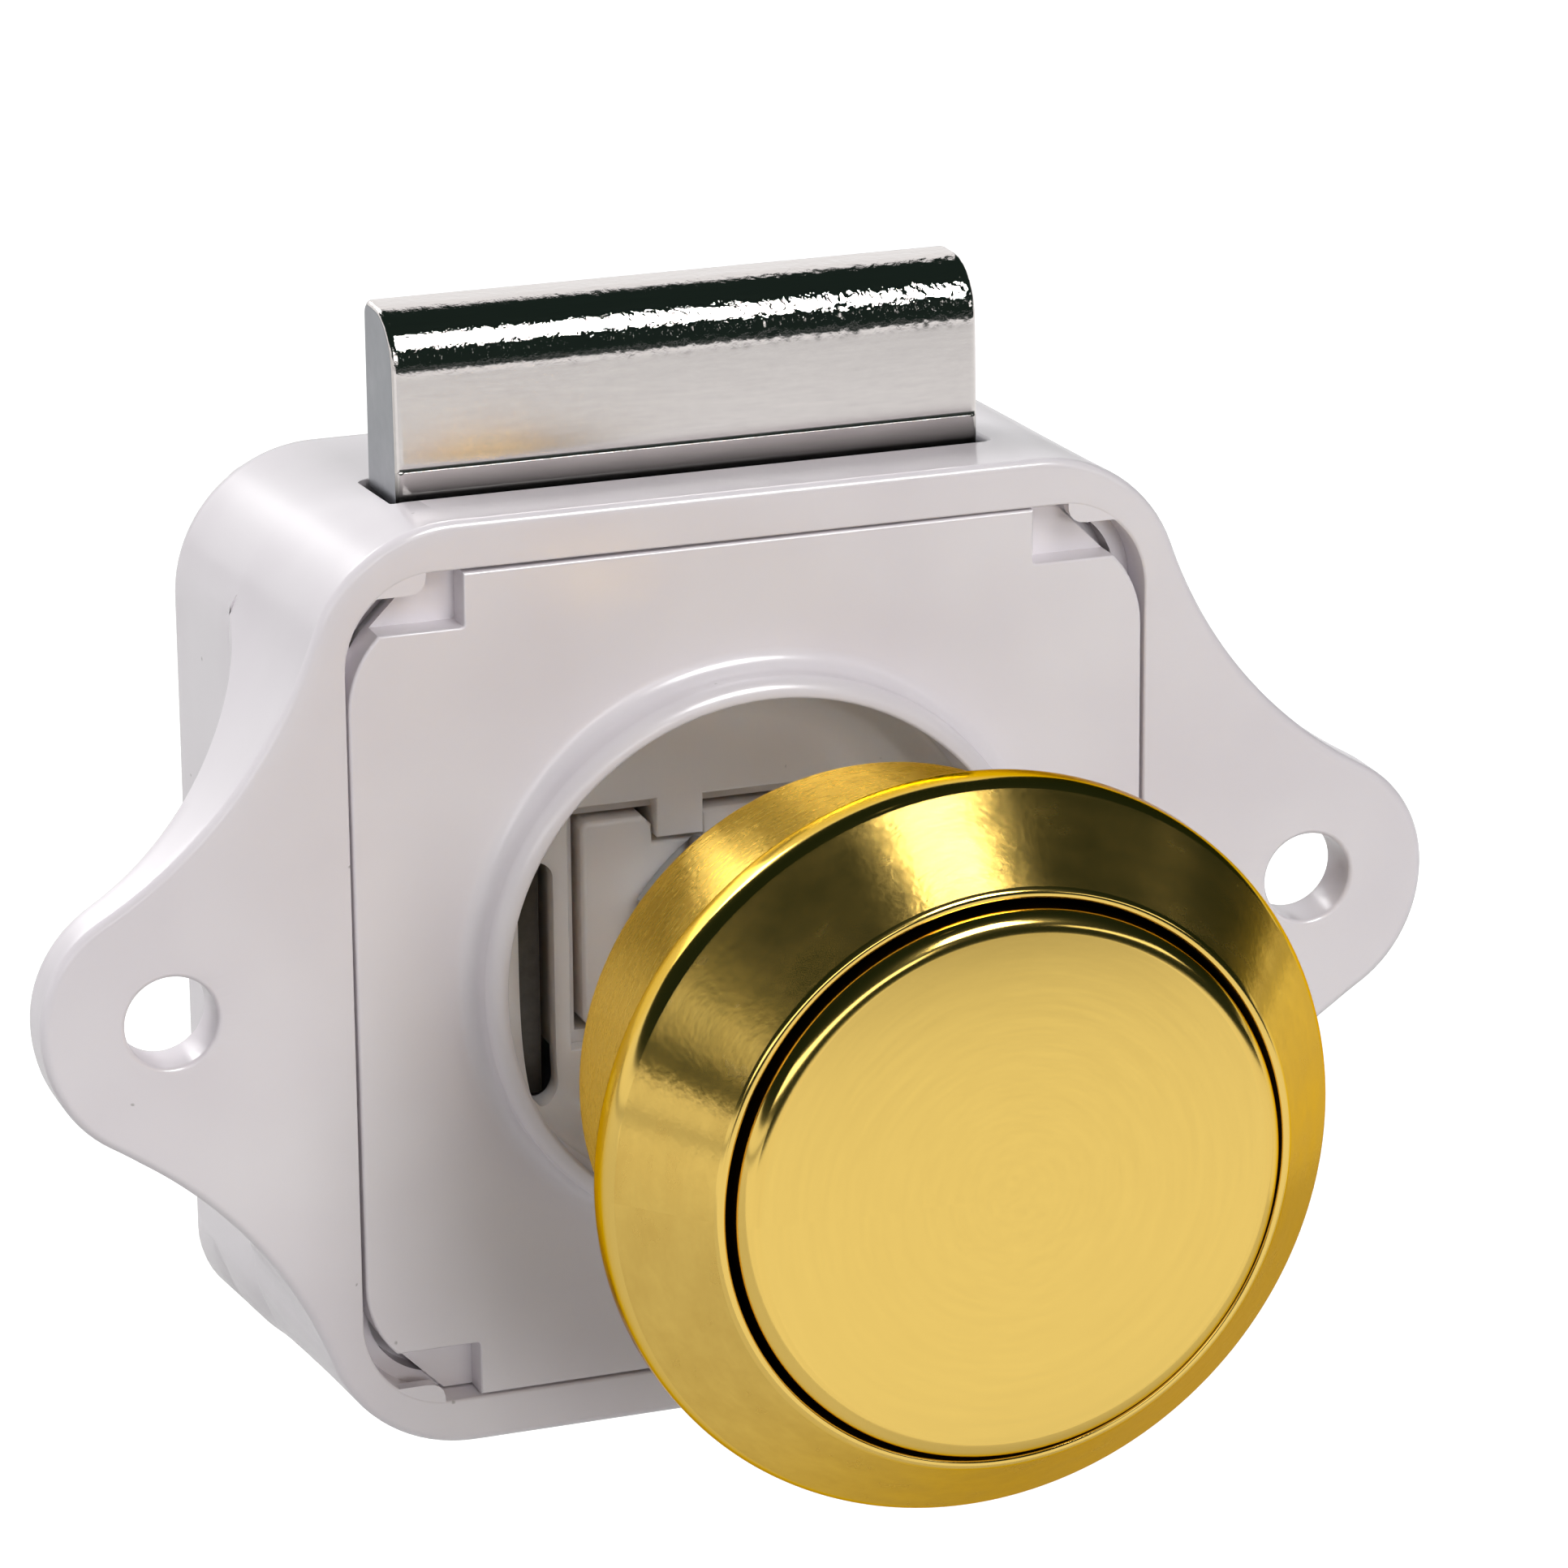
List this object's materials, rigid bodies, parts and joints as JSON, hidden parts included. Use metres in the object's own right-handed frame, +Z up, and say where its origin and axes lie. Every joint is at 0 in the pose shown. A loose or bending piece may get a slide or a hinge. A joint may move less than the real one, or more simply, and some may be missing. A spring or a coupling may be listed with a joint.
{
  "type": "push button cabinet lock",
  "caption": "Square surface-mounted cabinet lock with two screw ears, a spring bolt at the top and a round push-push knob with a door rosette.",
  "frame": {"origin": "on the knob's axis, midway between the two screw holes, in the case's front face that lies against the back of the door", "axes": "+X to the right seen from the knob's side, +Y into the cabinet away from the door, +Z up, the way the bolt comes out"},
  "size_m": [0.0656, 0.0539, 0.051],
  "materials": {
    "white_plastic": "glossy moulded white plastic",
    "cream_plastic": "smooth pale off-white plastic",
    "bolt_metal": "bright nickel-plated metal",
    "gold_metal": "brass-coloured plating, polished and brushed",
    "steel": "zinc-plated turned steel",
    "dark_steel": "dark stamped steel"
  },
  "bodies": {
    "housing": {"lock_case": "white_plastic", "front_cover": "white_plastic", "guide_housing": "cream_plastic", "cam_plate": "cream_plastic", "spring_pin_left": "steel", "spring_pin_right": "steel", "return_spring_left": "steel", "return_spring_right": "steel", "rosette": "gold_metal"},
    "knob": {"push_button": "gold_metal", "button_stem": "steel", "stem_nut": "steel", "sled": "cream_plastic", "drive_pin": "steel", "catch_pivot_pin": "steel"},
    "bolt_slide": {"bolt": "bolt_metal", "bolt_fork": "dark_steel", "bolt_rivet_left": "steel", "bolt_rivet_right": "steel"},
    "catch": {"catch_arm": "dark_steel"}
  },
  "joints": [
    {"name": "knob_push", "type": "slide", "parent": "housing", "child": "knob", "axis": [0, -1, 0], "range_m": [-0.001, 0.007], "deforming": ["return_spring_left", "return_spring_right"]},
    {"name": "bolt_draw", "type": "slide", "parent": "housing", "child": "bolt_slide", "axis": [0, 0, -1], "range_m": [-0.00114, 0.008]},
    {"name": "catch_swing", "type": "hinge", "parent": "knob", "child": "catch", "pos_m": [-0.0009, 0.0095, -0.0042], "axis": [0, 0, -1], "range_deg": [-1.3, 9.1]}
  ],
  "couplings": [
    {"joint": "bolt_draw", "follows": "knob_push", "ratio": 1.1429},
    {"joint": "catch_swing", "follows": "knob_push", "rad_per_m": 22.689}
  ]
}
